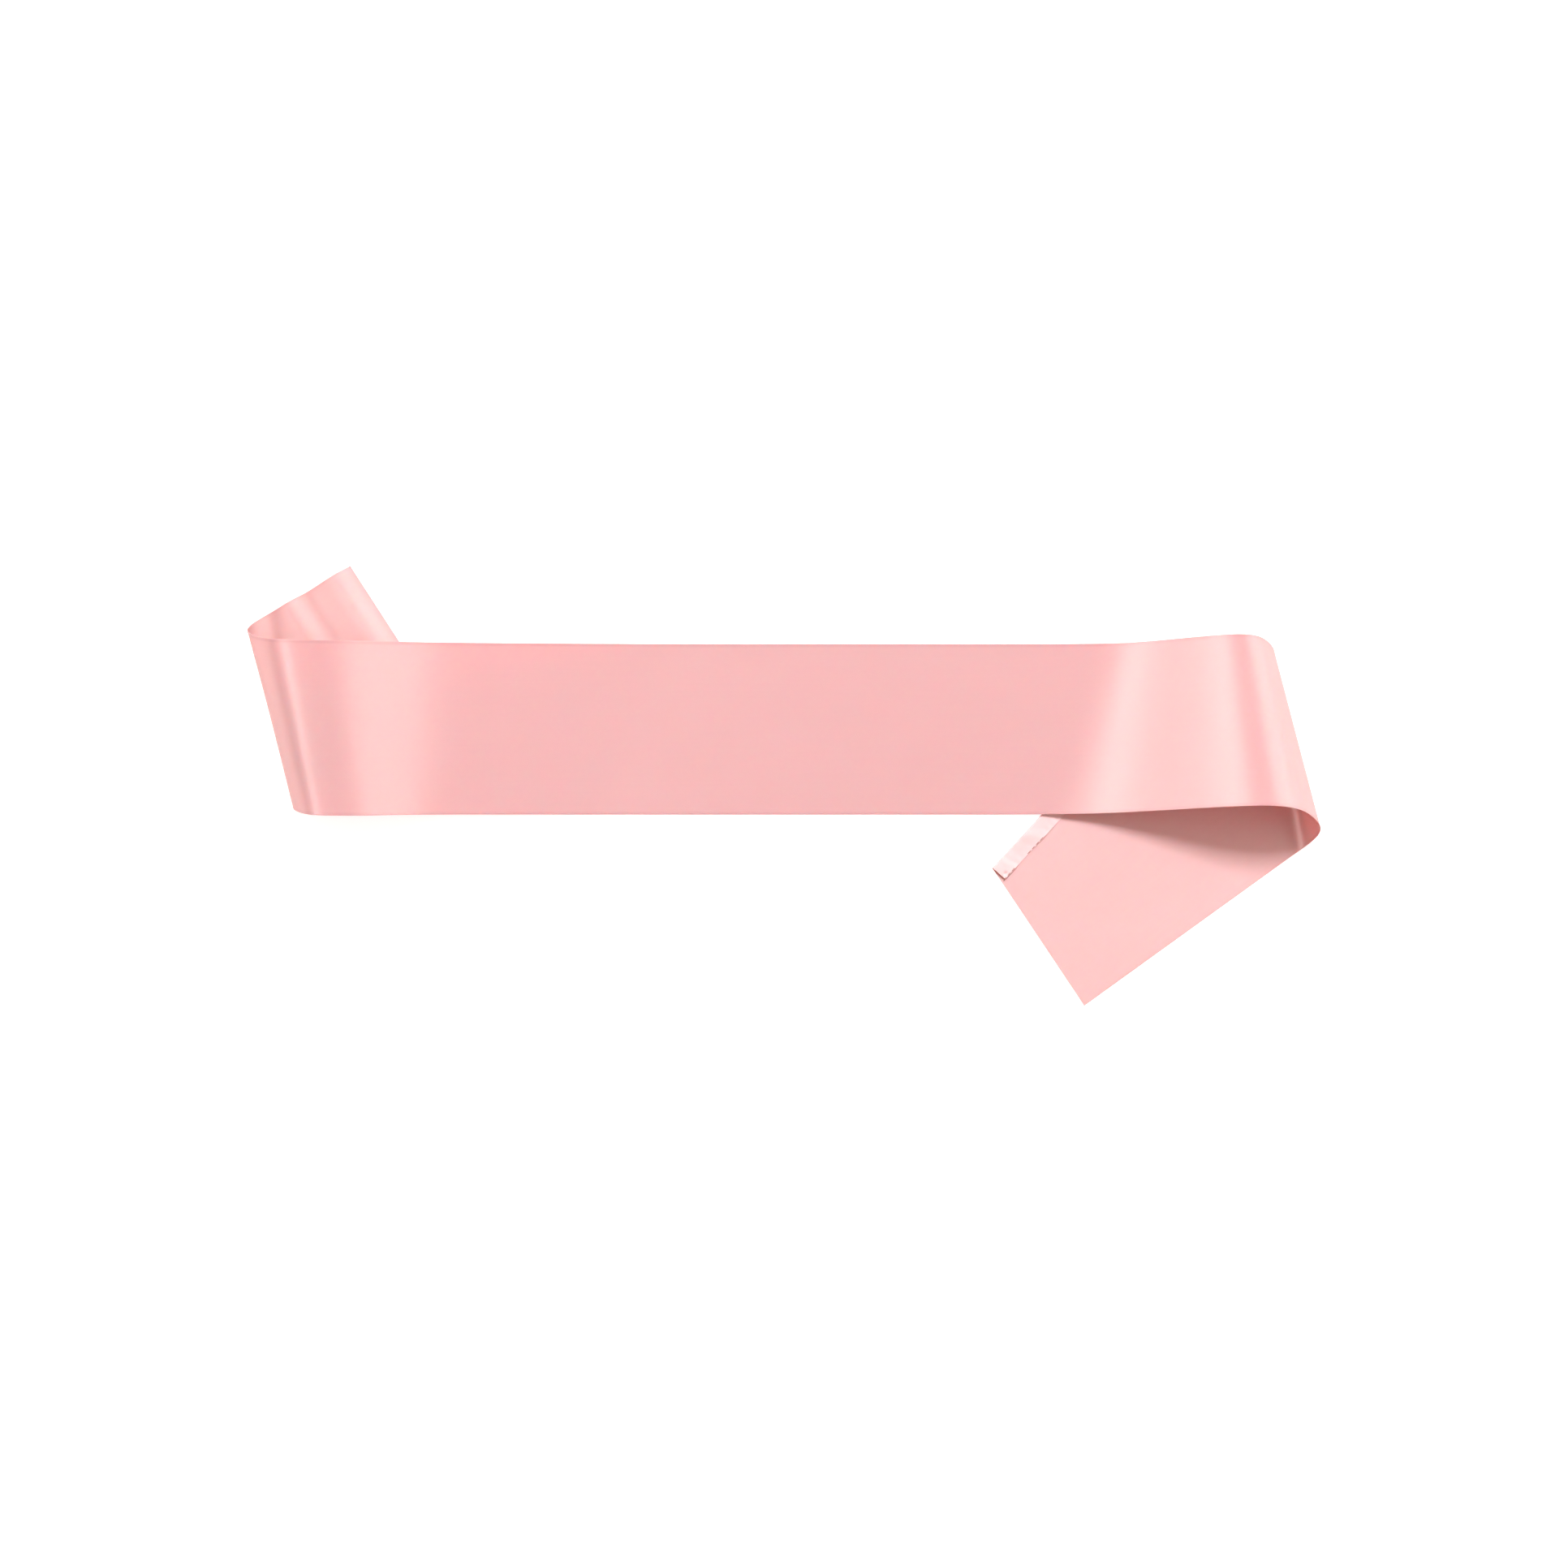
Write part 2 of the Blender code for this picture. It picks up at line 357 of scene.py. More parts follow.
# %% [markdown]
# ## Satin weave
#
# Satin is woven so that nearly every thread lies on top for a long way before it dips under one
# other. Those long floats run along the ribbon and give its sheen. There are hundreds of thousands
# of them, too many to model, so the bricks of a Brick texture stand for them. Both sides of the
# cloth and its hem need the same weave at their own strength, so it is a node group. It takes the
# place on the flat cloth, in metres, and returns a shade, a height for a bump and a mask of the
# woven edge.

# %% The weave as a node group
MM_IN_METRE = 1000.0
FLOAT_LENGTH, FLOAT_WIDTH = 1.5, 0.3                 # millimetres
SLUBS = dict(along=14.0, across=900.0, detail=3.0)   # thicker places in a thread, to a metre
MOTTLE = dict(along=22.0, across=34.0, detail=4.0)   # faint clouds in the dye, to a metre
WOVEN_EDGE_FADES, WOVEN_EDGE_FULL = 0.0021, 0.0015   # in from the ribbon's edge


def make_weave():
    """The weave's node group."""
    tree = bpy.data.node_groups.new("satin_weave", "ShaderNodeTree")
    sockets = tree.interface
    sockets.new_socket("Place", in_out="INPUT", socket_type="NodeSocketVector")
    for name, value in (("Slub Shade", 0.03), ("Mottle Shade", 0.03), ("Float Height", 0.4)):
        socket = sockets.new_socket(name, in_out="INPUT", socket_type="NodeSocketFloat")
        socket.default_value = value
    for name in ("Shade", "Height", "Selvedge"):
        sockets.new_socket(name, in_out="OUTPUT", socket_type="NodeSocketFloat")
    given = tree.nodes.new("NodeGroupInput")
    result = tree.nodes.new("NodeGroupOutput")
    place = given.outputs["Place"]

    in_mm = add_node(tree, "ShaderNodeVectorMath", operation="SCALE",
                     inputs={"Scale": MM_IN_METRE})
    tree.links.new(place, in_mm.inputs[0])
    floats = add_node(tree, "ShaderNodeTexBrick", offset=0.4, inputs={
        "Scale": 1.0, "Mortar Size": 0.05, "Mortar Smooth": 1.0,
        "Brick Width": FLOAT_LENGTH, "Row Height": FLOAT_WIDTH,
        "Color1": (0.9, 0.9, 0.9, 1), "Color2": (1, 1, 1, 1), "Mortar": (0, 0, 0, 1)})
    tree.links.new(in_mm.outputs[0], floats.inputs["Vector"])
    slubs = stretched_noise(tree, place, **SLUBS)
    mottle = stretched_noise(tree, place, **MOTTLE)

    slub_shade = maths(tree, "MULTIPLY", maths(tree, "SUBTRACT", slubs, 0.5),
                       given.outputs["Slub Shade"])
    mottle_shade = maths(tree, "MULTIPLY", maths(tree, "SUBTRACT", mottle, 0.5),
                         given.outputs["Mottle Shade"])
    shade = maths(tree, "ADD", 1.0, maths(tree, "ADD", slub_shade, mottle_shade))
    tree.links.new(shade, result.inputs["Shade"])

    float_height = maths(tree, "MULTIPLY", floats.outputs["Color"], given.outputs["Float Height"])
    tree.links.new(maths(tree, "ADD", float_height, slubs), result.inputs["Height"])

    across = add_node(tree, "ShaderNodeSeparateXYZ")
    tree.links.new(place, across.inputs[0])
    from_middle = maths(tree, "ABSOLUTE", across.outputs["Y"], 0.0)
    edge = add_node(tree, "ShaderNodeMapRange", interpolation_type="SMOOTHSTEP", inputs={
        "From Min": HALF_WIDTH - WOVEN_EDGE_FADES, "From Max": HALF_WIDTH - WOVEN_EDGE_FULL})
    tree.links.new(from_middle, edge.inputs["Value"])
    tree.links.new(edge.outputs["Result"], result.inputs["Selvedge"])
    return tree


weave = make_weave()
print("weave nodes:", len(weave.nodes))

# %% [markdown]
# ## Painted shade at the left end
#
# The left tail looks deeper and glossier than the right one, with soft bands across it, and the
# inside of the left roll is darker still. That is painted shade: the back's colour is darkened
# between the bands and inside the roll, where less light falls. The shade could be painted as an
# image, but it changes only along the ribbon. So it follows a short table, which a Color Ramp turns
# into a grey, and the cloth's colour is multiplied by that.

# %% Painted shade along the ribbon
MIX_COLOR_A, MIX_COLOR_B, MIX_RESULT = 6, 7, 2    # a Mix node's sockets for colours
LEFT_END_PAINTED_SHADE = (               # painted shade at the left end, by place along the ribbon
    (-0.410, 0.98), (-0.400, 0.94), (-0.391, 0.73), (-0.380, 0.74), (-0.372, 0.88),
    (-0.360, 0.66), (-0.335, 0.62), (-0.300, 1.00),
)


def tones_along(tree, place, tones):
    """A grey that follows a table of tones along the flat cloth."""
    first, last = tones[0][0], tones[-1][0]
    along = add_node(tree, "ShaderNodeSeparateXYZ")
    tree.links.new(place, along.inputs[0])
    share = add_node(tree, "ShaderNodeMapRange", inputs={"From Min": first, "From Max": last})
    tree.links.new(along.outputs["X"], share.inputs["Value"])
    ramp = tree.nodes.new("ShaderNodeValToRGB")
    ramp.color_ramp.interpolation = "EASE"
    while len(ramp.color_ramp.elements) < len(tones):
        ramp.color_ramp.elements.new(0.5)
    for element, (at, tone) in zip(ramp.color_ramp.elements, tones):
        element.position = (at - first) / (last - first)
        element.color = (tone, tone, tone, 1.0)
    tree.links.new(share.outputs["Result"], ramp.inputs["Fac"])
    return ramp.outputs["Color"]


print("deepest tone at the left end:", min(tone for _, tone in LEFT_END_PAINTED_SHADE))

# %% [markdown]
# ## The cloth's two sides
#
# The face of satin is dyed thread with a silky gloss. Its gloss stretches across the floats, as on
# brushed metal, so the Principled shader's anisotropy is turned to the ribbon's own direction by a
# Tangent node that reads the `cloth` map. Thin cloth also glows: light goes in, turns pink among the
# threads and comes out a little further on, which the shader's subsurface does. The back shows the
# short side of the weave: paler, drier and a little blotchy. The hem's turned strip is paler still:
# its colour is lightened as a painted highlight, on top of the highlight that the lamps give it. The
# woven edge is denser on both sides, so its colour is a shade deeper.

# %% Satin face and satin back
FIBRE_IOR = 1.9                  # smooth bright threads shine more than plain cloth does
ACROSS_THE_FLOATS = 0.25         # the gloss is turned by a quarter
GLOW_REACH = (1.2, 0.35, 0.20)   # how far red, green and blue go in the cloth, in millimetres
BUMP_STRENGTH = 0.5
FACE = dict(color=(0.690, 0.380, 0.384), edge_color=(0.645, 0.345, 0.355), roughness=0.43,
            anisotropy=0.6, specular=1.0, glow_through=0.5, bump=0.00002,
            weave_values={"Slub Shade": 0.04, "Mottle Shade": 0.03, "Float Height": 0.4})
# The back carries the left end's painted shade.
BACK = dict(color=(0.815, 0.468, 0.464), edge_color=(0.80, 0.447, 0.444), roughness=0.39,
            anisotropy=0.4, specular=1.0, glow_through=0.5, bump=0.00003,
            weave_values={"Slub Shade": 0.05, "Mottle Shade": 0.06, "Float Height": 0.4},
            left_end_painted_shade=LEFT_END_PAINTED_SHADE)
# The hem's paler colour is a painted highlight, added to the highlight its strip catches from the
# lamps.
TURNED_WITH_PAINTED_HIGHLIGHT = dict(color=(0.90, 0.55, 0.55), edge_color=(0.90, 0.55, 0.55), roughness=0.50,
              anisotropy=0.4, specular=0.5, glow_through=0.1, bump=0.00002,
              weave_values={"Slub Shade": 0.05, "Mottle Shade": 0.05, "Float Height": 0.4})


def make_satin(name, color, edge_color, roughness, anisotropy, specular, glow_through, bump,
               weave_values, left_end_painted_shade=None):
    """One side of the satin. The left end's painted shade, if any, multiplies its colour."""
    material = bpy.data.materials.new(name)
    material.use_nodes = True
    tree = material.node_tree
    shader = tree.nodes["Principled BSDF"]
    shader.inputs["Roughness"].default_value = roughness
    shader.inputs["Anisotropic"].default_value = anisotropy
    shader.inputs["Anisotropic Rotation"].default_value = ACROSS_THE_FLOATS
    shader.inputs["Specular IOR Level"].default_value = specular
    shader.inputs["IOR"].default_value = FIBRE_IOR
    shader.inputs["Subsurface Weight"].default_value = glow_through
    shader.inputs["Subsurface Radius"].default_value = GLOW_REACH
    shader.inputs["Subsurface Scale"].default_value = 1 / MM_IN_METRE
    flat = add_node(tree, "ShaderNodeUVMap", uv_map="cloth")
    tangent = add_node(tree, "ShaderNodeTangent", direction_type="UV_MAP", uv_map="cloth")
    cloth = add_node(tree, "ShaderNodeGroup", node_tree=weave, inputs=weave_values)
    tree.links.new(flat.outputs["UV"], cloth.inputs["Place"])
    tree.links.new(tangent.outputs["Tangent"], shader.inputs["Tangent"])

    woven = add_node(tree, "ShaderNodeMix", data_type="RGBA")
    woven.inputs[MIX_COLOR_A].default_value = (*color, 1.0)
    woven.inputs[MIX_COLOR_B].default_value = (*edge_color, 1.0)
    tree.links.new(cloth.outputs["Selvedge"], woven.inputs["Factor"])
    shade = cloth.outputs["Shade"]
    # Painted shade: the back's colour is darkened between the left tail's bands and inside the left
    # roll.
    if left_end_painted_shade:
        tone = tones_along(tree, flat.outputs["UV"], left_end_painted_shade)
        shade = maths(tree, "MULTIPLY", shade, tone)
    shaded = add_node(tree, "ShaderNodeVectorMath", operation="SCALE")
    tree.links.new(woven.outputs[MIX_RESULT], shaded.inputs[0])
    tree.links.new(shade, shaded.inputs["Scale"])
    tree.links.new(shaded.outputs[0], shader.inputs["Base Color"])
    bumps = add_node(tree, "ShaderNodeBump", inputs={"Strength": BUMP_STRENGTH, "Distance": bump})
    tree.links.new(cloth.outputs["Height"], bumps.inputs["Height"])
    tree.links.new(bumps.outputs["Normal"], shader.inputs["Normal"])
    return material


satin_face = make_satin("satin_face", **FACE)
satin_back = make_satin("satin_back", **BACK)
satin_turned_painted_highlight = make_satin("satin_turned_painted_highlight", **TURNED_WITH_PAINTED_HIGHLIGHT)
print("materials:", satin_face.name, satin_back.name, satin_turned_painted_highlight.name)

# %% [markdown]
# ## The hem's line
#
# The right tail's near edge is turned over and stitched, and the fold slants a little across the
# ribbon, as hand work does. The fold is a straight line on the table. It starts just in from the
# tail's corner and runs on until the front hides it. It has to be known before the ribbon is made,
# because the tail's own edge must stay inside the fold.

# %% The hem's line
HEM_WIDTH = 0.0100
HEM_SLANT = math.radians(11.5)
HEM_INSET = 0.0035               # fold's start, in from the tail's corner
HEM_HIDDEN = 0.0040              # how far it runs on under the front
HEM_CLEARANCE = 0.0013           # from the fold to the tail's trimmed edge


def on_table(along, across):
    """A point of the right tail, on the table."""
    return right_end.lay(np.array(along), np.array(across)) + ribbon_middle


landing_along = right_end.along + (right_end.off - HALF_WIDTH) * math.tan(right_end.opened[-1])
near_landing = on_table(landing_along, HALF_WIDTH)
near_cut = on_table(right_end.cut_length(HALF_WIDTH), HALF_WIDTH)
far_cut = on_table(right_end.cut_length(-HALF_WIDTH), -HALF_WIDTH)
along_cut = (far_cut - near_cut) / np.linalg.norm(far_cut - near_cut)
hem_start = near_cut + along_cut * HEM_INSET
hem_turn = HEM_SLANT + math.atan2(*(near_landing - near_cut)[1::-1])
hem_way = np.array([math.cos(hem_turn), math.sin(hem_turn), 0.0])
hem_inwards = np.array([hem_way[1], -hem_way[0], 0.0])
hem_length = (front_low[1] - hem_start[1] + HEM_HIDDEN) / hem_way[1]
print("hem length, in metres:", round(hem_length, 4))

# %% [markdown]
# ## The ribbon
#
# All five stretches of the sash are one length of ribbon, so they are one piece here, with no seam
# where the solids had theirs. Rows of points follow the ribbon every two millimetres, close enough
# for its curves to shade smoothly. Columns crowd together at the long edges, where the selvedge
# swells into a fine bead. On the right tail the edge is drawn in to stay inside the hem's fold.

# %% The ribbon's shell
ROW_SPACING = 0.0020
EDGE_COLUMNS = (0.0, 0.00025, 0.0006, 0.0010)     # distances in from the ribbon's edge
EDGE_WALL = (CLOTH_THICKNESS, 0.00044, SELVEDGE_THICKNESS, 0.00040)   # the thickness there
FIRST_INNER_COLUMN = 0.0015                       # and the plain cloth's first column

inner_columns = np.arange(-HALF_WIDTH + FIRST_INNER_COLUMN, HALF_WIDTH - EDGE_COLUMNS[-1],
                          ROW_SPACING)
columns = np.concatenate([np.array(EDGE_COLUMNS) - HALF_WIDTH, inner_columns,
                          HALF_WIDTH - np.array(EDGE_COLUMNS[::-1])])
walls = np.concatenate([EDGE_WALL, np.full(len(inner_columns), CLOTH_THICKNESS),
                        EDGE_WALL[::-1]])
share, across = np.meshgrid(np.linspace(0.0, 1.0, round(sash_length / ROW_SPACING) + 1),
                            columns, indexing="ij")
to_right_cut = (1 - share) * sash_length
hem_bite = np.maximum(HEM_INSET + HEM_CLEARANCE - to_right_cut * math.tan(HEM_SLANT), 0.0)
across = -HALF_WIDTH + (across + HALF_WIDTH) * (1 - hem_bite / RIBBON_WIDTH)
along = ((1 - share) * -left_end.cut_length(-across) + share * right_end.cut_length(across))
ribbon_places = lay_ribbon(along, across)
satin_ribbon = cloth_shell("satin_ribbon", ribbon_places, surface_normals(ribbon_places),
                           np.broadcast_to(walls / 2, share.shape),
                           np.stack([along, across], -1), (satin_face, satin_back))

# %% [markdown]
# ## The turned hem
#
# The right tail's edge is turned over by ten millimetres and stitched, a little askew to the
# ribbon. It is a narrow strip that rounds its fold and comes down on the tail. Hand-turned cloth is
# never pressed evenly: it is open at its mouth, pressed flat further on, and gapes again between
# stitches. So its height and the gap under its stitched edge each follow a short table.

# %% The hem's strip
HEM_SPACING = 0.0004
MOUTH_SETBACK = 0.0003           # the top leaf stops just short of the cut line
HEM_WALL = 0.00034
HEM_FORM = (                     # by distance from the mouth
    dict(at=0.000, arch=0.0026, gape=0.0011),
    dict(at=0.006, arch=0.0024, gape=0.0009),
    dict(at=0.010, arch=0.0017, gape=0.0001),
    dict(at=0.015, arch=0.0014, gape=0.0000),
    dict(at=0.020, arch=0.0017, gape=0.0002),
    dict(at=0.027, arch=0.0024, gape=0.0008),
    dict(at=0.033, arch=0.0019, gape=0.0002),
    dict(at=0.048, arch=0.0018, gape=0.0001),
    dict(at=0.070, arch=0.0016, gape=0.0000),
)
MOUTH_DENT = dict(reach=0.0026, inset=0.0080, radius=0.0011, depth=0.0008)
PUCKER = dict(pitch=0.0043, inset=0.0080, width=0.0020, height=0.00005)
HEM_FOLD_POINTS = 14
HEM_LEAF_POINTS = 24
TAIL_TOP = SELVEDGE_THICKNESS / 2 + TABLE_CLEARANCE + CLOTH_THICKNESS / 2


def hem_section(reach):
    """Distance in from the fold, and height, of the hem's middle: from the stitches to the fold."""
    arch = follow(HEM_FORM, "arch", reach)[:, None]
    radius = (arch - HEM_WALL) / 2 - TABLE_CLEARANCE
    turn = np.linspace(math.pi / 2, -math.pi / 2, HEM_FOLD_POINTS)
    base = HEM_WALL / 2 + TABLE_CLEARANCE + radius
    fold = np.stack([HEM_WALL / 2 + radius * (1 - np.cos(turn)), base + radius * np.sin(turn)], -1)
    ease = np.linspace(0.0, 1.0, HEM_LEAF_POINTS, endpoint=False)
    shoulder = fold[:, :1, 0]
    gape = follow(HEM_FORM, "gape", reach)[:, None]
    stitched = TAIL_TOP + HEM_WALL / 2 + TABLE_CLEARANCE + gape
    leaf_inset = HEM_WIDTH - (HEM_WIDTH - shoulder) * ease
    leaf_height = stitched + (fold[:, :1, 1] - stitched) * eased(ease)
    return np.concatenate([np.stack([leaf_inset, leaf_height], -1), fold], axis=1)


reach = np.arange(0.0, hem_length, HEM_SPACING)
section = hem_section(reach)
setback = MOUTH_SETBACK * section[..., 0] / HEM_WIDTH
hidden_end = hem_length + section[..., 0] * hem_way[0] / hem_way[1]
reaches = setback + reach[:, None] / reach[-1] * (hidden_end - setback)
dent = MOUTH_DENT["depth"] * np.exp(
    -((reaches - MOUTH_DENT["reach"]) ** 2 + (section[..., 0] - MOUTH_DENT["inset"]) ** 2)
    / MOUTH_DENT["radius"] ** 2)
pucker = PUCKER["height"] * np.sin(reaches * 2 * math.pi / PUCKER["pitch"]) * np.exp(
    -((section[..., 0] - PUCKER["inset"]) / PUCKER["width"]) ** 2)
hem_places = (hem_start + reaches[..., None] * hem_way + section[..., :1] * hem_inwards
              + (section[..., 1] + pucker - dent)[..., None] * np.array([0.0, 0.0, 1.0]))
hem_flat = np.stack([reaches, section[..., 0] + section[..., 1]], -1)
stitched_hem = cloth_shell("stitched_hem", hem_places, surface_normals(hem_places),
                           np.full(reaches.shape, HEM_WALL / 2), hem_flat,
                           (satin_turned_painted_highlight, satin_back))

# %% [markdown]
# ## Painted shadow at the hem's mouth
#
# Where the hem's mouth lifts off the tail, the gap under it is in shade. That shadow is painted: a
# thin dark bead lies along the leaf's end. A bead is a tube along a line, so a helper sets a small
# ring of points round each place of the leaf's end, and closes the tube's two ends.

# %% Painted shadow at the hem's mouth
# The bead is painted shadow: a dark tube where the gap under the hem's mouth is in shade.
MOUTH_SHADOW_DIAMETER = 0.00050
BEAD_SIDES = 8
MOUTH_SHADOW_COLOR = (0.30, 0.12, 0.10)
MOUTH_SHADOW_DARK, MOUTH_SHADOW_LIGHT = 0.6, 1.5                  # shares of its colour, from speck to speck
SPECKS = dict(along=1800.0, across=1800.0, detail=2.0)   # to a metre
SPECK_HEIGHT = 0.00005


def make_mouth_shadow():
    """Painted shadow of the gap under the hem's mouth: dark, with lighter specks at random."""
    material = bpy.data.materials.new("painted_mouth_shadow")
    material.use_nodes = True
    tree = material.node_tree
    shader = tree.nodes["Principled BSDF"]
    shader.inputs["Roughness"].default_value = 0.45
    place = add_node(tree, "ShaderNodeTexCoord")
    specks = stretched_noise(tree, place.outputs["Object"], **SPECKS)
    tones = add_node(tree, "ShaderNodeMix", data_type="RGBA")
    tones.inputs[MIX_COLOR_A].default_value = (*(MOUTH_SHADOW_DARK * c for c in MOUTH_SHADOW_COLOR), 1.0)
    tones.inputs[MIX_COLOR_B].default_value = (*(MOUTH_SHADOW_LIGHT * c for c in MOUTH_SHADOW_COLOR), 1.0)
    tree.links.new(specks, tones.inputs["Factor"])
    tree.links.new(tones.outputs[MIX_RESULT], shader.inputs["Base Color"])
    bumps = add_node(tree, "ShaderNodeBump", inputs={
        "Strength": BUMP_STRENGTH, "Distance": SPECK_HEIGHT})
    tree.links.new(specks, bumps.inputs["Height"])
    tree.links.new(bumps.outputs["Normal"], shader.inputs["Normal"])
    return material


def bead(name, line, radius, material):
    """A closed tube of few faces along a line of places."""
    ahead = np.gradient(line, axis=0)
    ahead /= np.linalg.norm(ahead, axis=1)[:, None]
    aside = np.cross(ahead, hem_way)
    aside /= np.linalg.norm(aside, axis=1)[:, None]
    upward = np.cross(ahead, aside)   # right-handed, so that the faces point outwards
    turn = np.linspace(0.0, 2 * math.pi, BEAD_SIDES, endpoint=False)[None, :, None]
    spokes = np.cos(turn) * aside[:, None] + np.sin(turn) * upward[:, None]
    rings = line[:, None] + radius * spokes
    count = len(line)
    ring = np.arange(BEAD_SIDES)
    faces = [[k * BEAD_SIDES + j, k * BEAD_SIDES + (j + 1) % BEAD_SIDES,
              (k + 1) * BEAD_SIDES + (j + 1) % BEAD_SIDES, (k + 1) * BEAD_SIDES + j]
             for k in range(count - 1) for j in ring]
    faces += [ring[::-1].tolist(), ((count - 1) * BEAD_SIDES + ring).tolist()]
    mesh = bpy.data.meshes.new(name)
    mesh.from_pydata(rings.reshape(-1, 3).tolist(), [], faces)
    mesh.materials.append(material)
    mesh.shade_smooth()
    piece = bpy.data.objects.new(name, mesh)
    bpy.context.scene.collection.objects.link(piece)
    return piece


# The painted shadow along the hem's mouth.
hem_mouth_shadow = bead("hem_mouth_shadow", hem_places[0, :HEM_LEAF_POINTS + HEM_FOLD_POINTS // 2]
                 - hem_way * MOUTH_SHADOW_DIAMETER / 4, MOUTH_SHADOW_DIAMETER / 2, make_mouth_shadow())
print("mouth bead has", len(hem_mouth_shadow.data.polygons), "faces")

# %% [markdown]
# ## The sewing thread
#
# The hem is sewn with a darker thread. Its dark colour is partly the thread's own and partly painted
# shade, for the dark line under the hem's edge where it gapes. A real thread is two or three twisted
# strands. They are too fine to model, so slanting bands from a Wave texture give the twist, as a
# shade and as a bump.

# %% The thread's finish
# Partly the thread's own colour, partly painted shade for the dark line under the hem's gaping edge.
THREAD_AND_GAP_SHADE_COLOR = (0.42, 0.19, 0.17)
THREAD_SHADE = 0.8               # between the strands
TWIST_BANDS = 1500.0             # the Wave texture's scale
TWIST_HEIGHT = 0.00003


def make_thread():
    """Twisted sewing thread, dark enough to paint in the shade under the hem's gaping edge."""
    material = bpy.data.materials.new("thread")
    material.use_nodes = True
    tree = material.node_tree
    shader = tree.nodes["Principled BSDF"]
    shader.inputs["Roughness"].default_value = 0.5
    place = add_node(tree, "ShaderNodeTexCoord")
    twist = add_node(tree, "ShaderNodeTexWave", bands_direction="DIAGONAL",
                     inputs={"Scale": TWIST_BANDS, "Distortion": 0.5})
    tree.links.new(place.outputs["Object"], twist.inputs["Vector"])
    tones = add_node(tree, "ShaderNodeMix", data_type="RGBA")
    tones.inputs[MIX_COLOR_A].default_value = (*(THREAD_SHADE * c for c in THREAD_AND_GAP_SHADE_COLOR), 1.0)
    tones.inputs[MIX_COLOR_B].default_value = (*THREAD_AND_GAP_SHADE_COLOR, 1.0)
    tree.links.new(twist.outputs["Fac"], tones.inputs["Factor"])
    tree.links.new(tones.outputs[MIX_RESULT], shader.inputs["Base Color"])
    bumps = add_node(tree, "ShaderNodeBump", inputs={
        "Strength": BUMP_STRENGTH, "Distance": TWIST_HEIGHT})
    tree.links.new(twist.outputs["Fac"], bumps.inputs["Height"])
    tree.links.new(bumps.outputs["Normal"], shader.inputs["Normal"])
    return material


thread = make_thread()
print("material:", thread.name)

# %% [markdown]
# ## Stitches
#
# One row of small stitches holds the hem down, just inside its edge. They repeat along a line, so
# Geometry Nodes make them: the line is cut into points one pitch apart, and a stitch, a stretched
# ball of a few dozen faces, is set on each point and turned along the line.

# %% The stitches' tree
BALL_SEGMENTS, BALL_RINGS = 8, 6


def make_stitch_tree(thread):
    """Geometry Nodes that set a stitch at each pitch of a line."""
    tree = bpy.data.node_groups.new("stitches_on_line", "GeometryNodeTree")
    sockets = tree.interface
    sockets.new_socket("Line", in_out="INPUT", socket_type="NodeSocketGeometry")
    for name in ("Pitch", "Stitch Length", "Thread Diameter"):
        sockets.new_socket(name, in_out="INPUT", socket_type="NodeSocketFloat")
    sockets.new_socket("Stitches", in_out="OUTPUT", socket_type="NodeSocketGeometry")
    given = tree.nodes.new("NodeGroupInput")
    result = tree.nodes.new("NodeGroupOutput")
    link = tree.links.new

    curve = tree.nodes.new("GeometryNodeMeshToCurve")
    link(given.outputs["Line"], curve.inputs["Mesh"])
    points = add_node(tree, "GeometryNodeCurveToPoints", mode="LENGTH")
    link(curve.outputs["Curve"], points.inputs["Curve"])
    link(given.outputs["Pitch"], points.inputs["Length"])
    ball = add_node(tree, "GeometryNodeMeshUVSphere",
                    inputs={
                        "Segments": BALL_SEGMENTS, "Rings": BALL_RINGS, "Radius": 0.5})
    size = tree.nodes.new("ShaderNodeCombineXYZ")
    link(given.outputs["Thread Diameter"], size.inputs["X"])
    link(given.outputs["Thread Diameter"], size.inputs["Y"])
    link(given.outputs["Stitch Length"], size.inputs["Z"])
    stitches = tree.nodes.new("GeometryNodeInstanceOnPoints")
    link(points.outputs["Points"], stitches.inputs["Points"])
    link(points.outputs["Rotation"], stitches.inputs["Rotation"])
    link(ball.outputs["Mesh"], stitches.inputs["Instance"])
    link(size.outputs["Vector"], stitches.inputs["Scale"])
    smooth = add_node(tree, "GeometryNodeSetShadeSmooth")
    real = tree.nodes.new("GeometryNodeRealizeInstances")
    colored = add_node(tree, "GeometryNodeSetMaterial", inputs={"Material": thread})
    link(stitches.outputs["Instances"], real.inputs["Geometry"])
    link(real.outputs["Geometry"], smooth.inputs["Geometry"])
    link(smooth.outputs["Geometry"], colored.inputs["Geometry"])
    link(colored.outputs["Geometry"], result.inputs["Stitches"])
    return tree


stitch_tree = make_stitch_tree(thread)
print("stitch nodes:", len(stitch_tree.nodes))

# %% [markdown]
# ## The row of stitches
#
# The tree runs as a modifier on a line that follows the hem's stitched edge. Its result is kept as a
# plain mesh, because a modifier that makes geometry would be lost when the piece is handed on. The
# thread is pulled into the cloth for most of its way and shows in two short runs, so its depth
# follows a table, like the hem's own height. The two runs are where the hem's edge gapes, so the
# dark thread there is a real stitch and also paints the shade under that edge.

